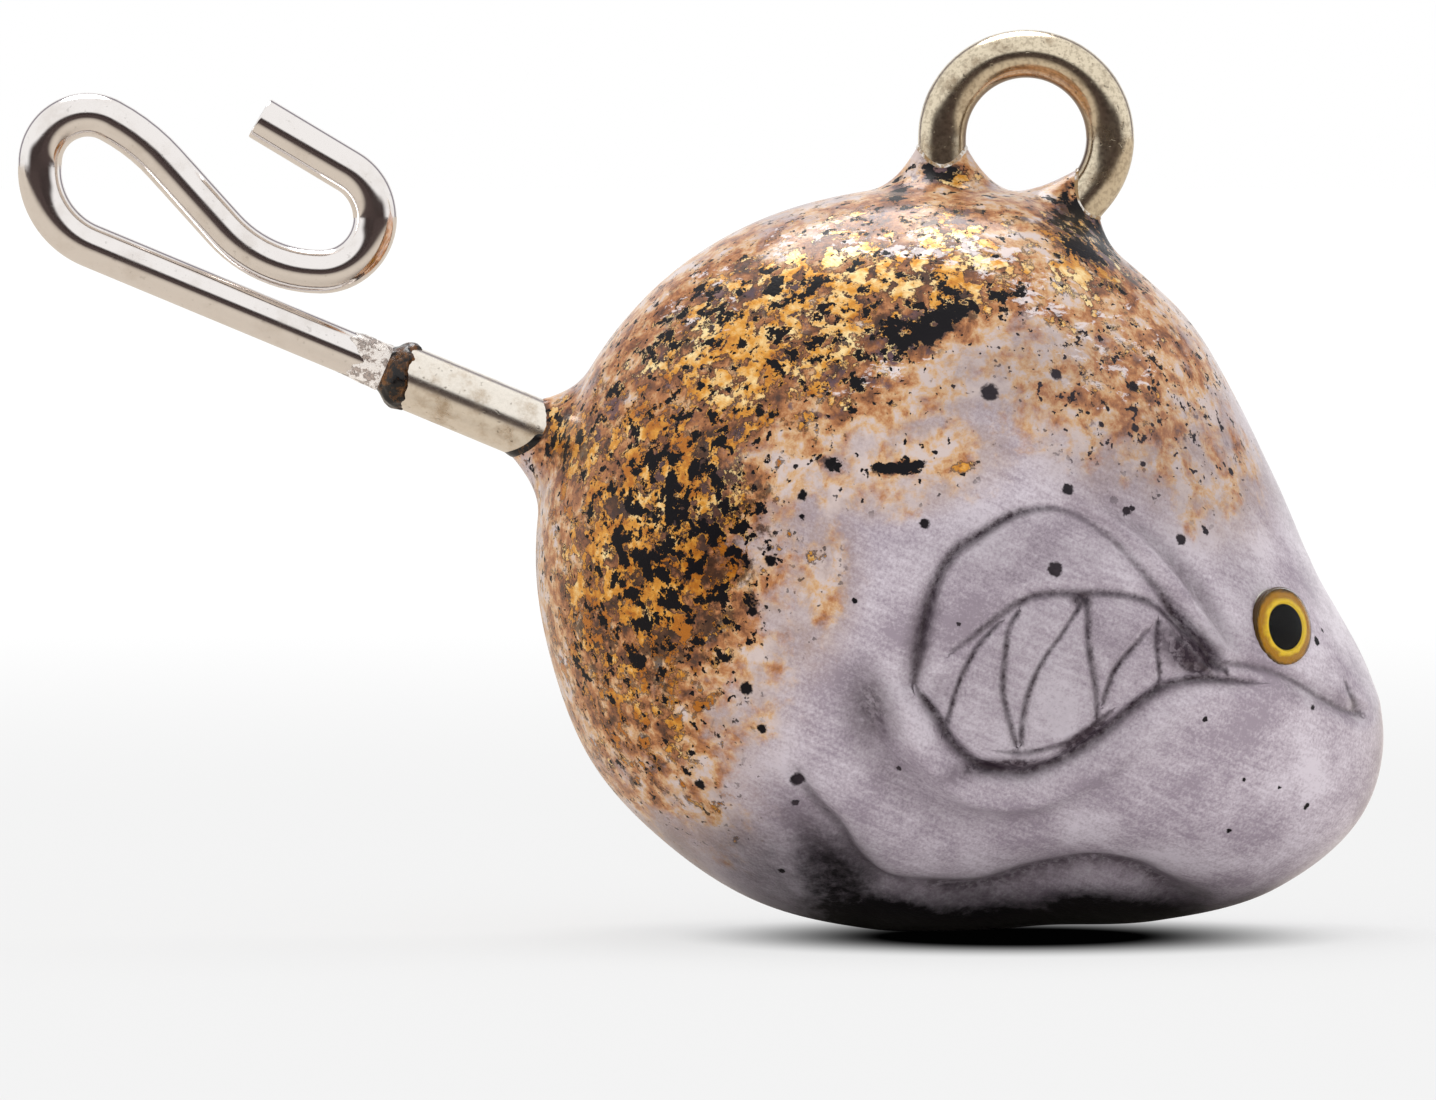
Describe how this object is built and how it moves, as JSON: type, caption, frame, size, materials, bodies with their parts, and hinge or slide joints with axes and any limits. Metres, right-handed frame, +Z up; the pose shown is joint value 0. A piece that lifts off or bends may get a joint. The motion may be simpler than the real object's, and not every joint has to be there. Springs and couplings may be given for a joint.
{
  "type": "fishing sinker",
  "caption": "Cast lead jig sinker shaped as a toothy fish head, with a closed line ring on top and a sprung S-shaped wire clip glued in a sleeve at its back.",
  "frame": {"origin": "centre of the bounding box in plan, on the surface that the belly rests on", "axes": "+Z up, +X from the clip towards the fish's nose, Y across; the wires lie in the plane Y = 0"},
  "size_m": [0.0342, 0.015, 0.0225],
  "materials": {
    "lead": "painted lead: gold leaf, black and grey-lilac under clear lacquer",
    "ring_wire": "steel wire under yellowed lacquer",
    "clip_wire": "bright drawn stainless wire",
    "sleeve_metal": "nickel tube under lacquer",
    "clear_lacquer": "hardened clear lacquer",
    "dark_paint": "black and bronze paint under lacquer",
    "epoxy": "amber epoxy",
    "eye_pad": "foam adhesive",
    "eye_iris": "yellow foil",
    "eye_pupil": "black print",
    "eye_dome": "clear resin dome"
  },
  "bodies": {
    "sinker": {"lead_body": "lead", "line_ring": "ring_wire", "ring_rear_bead": "clear_lacquer", "ring_front_bead": "clear_lacquer", "clip_sleeve": "sleeve_metal", "sleeve_root_bead": "dark_paint", "sleeve_mouth_bead": "dark_paint", "clip_glue": "epoxy", "clip_shank": "clip_wire", "clip_bend": "clip_wire", "right_eye_pad": "eye_pad", "right_eye_iris": "eye_iris", "right_eye_pupil": "eye_pupil", "right_eye_dome": "eye_dome", "left_eye_pad": "eye_pad", "left_eye_iris": "eye_iris", "left_eye_pupil": "eye_pupil", "left_eye_dome": "eye_dome"},
    "clip_arm": {"clip_arm": "clip_wire"}
  },
  "joints": [
    {"name": "clip_flex", "type": "hinge", "parent": "sinker", "child": "clip_arm", "pos_m": [-0.01653, 0, 0.01909], "axis": [0, -1, 0], "range_deg": [-1.5, 10], "stiffness_Nm_per_rad": 1.6, "deforming": ["clip_bend"]}
  ]
}
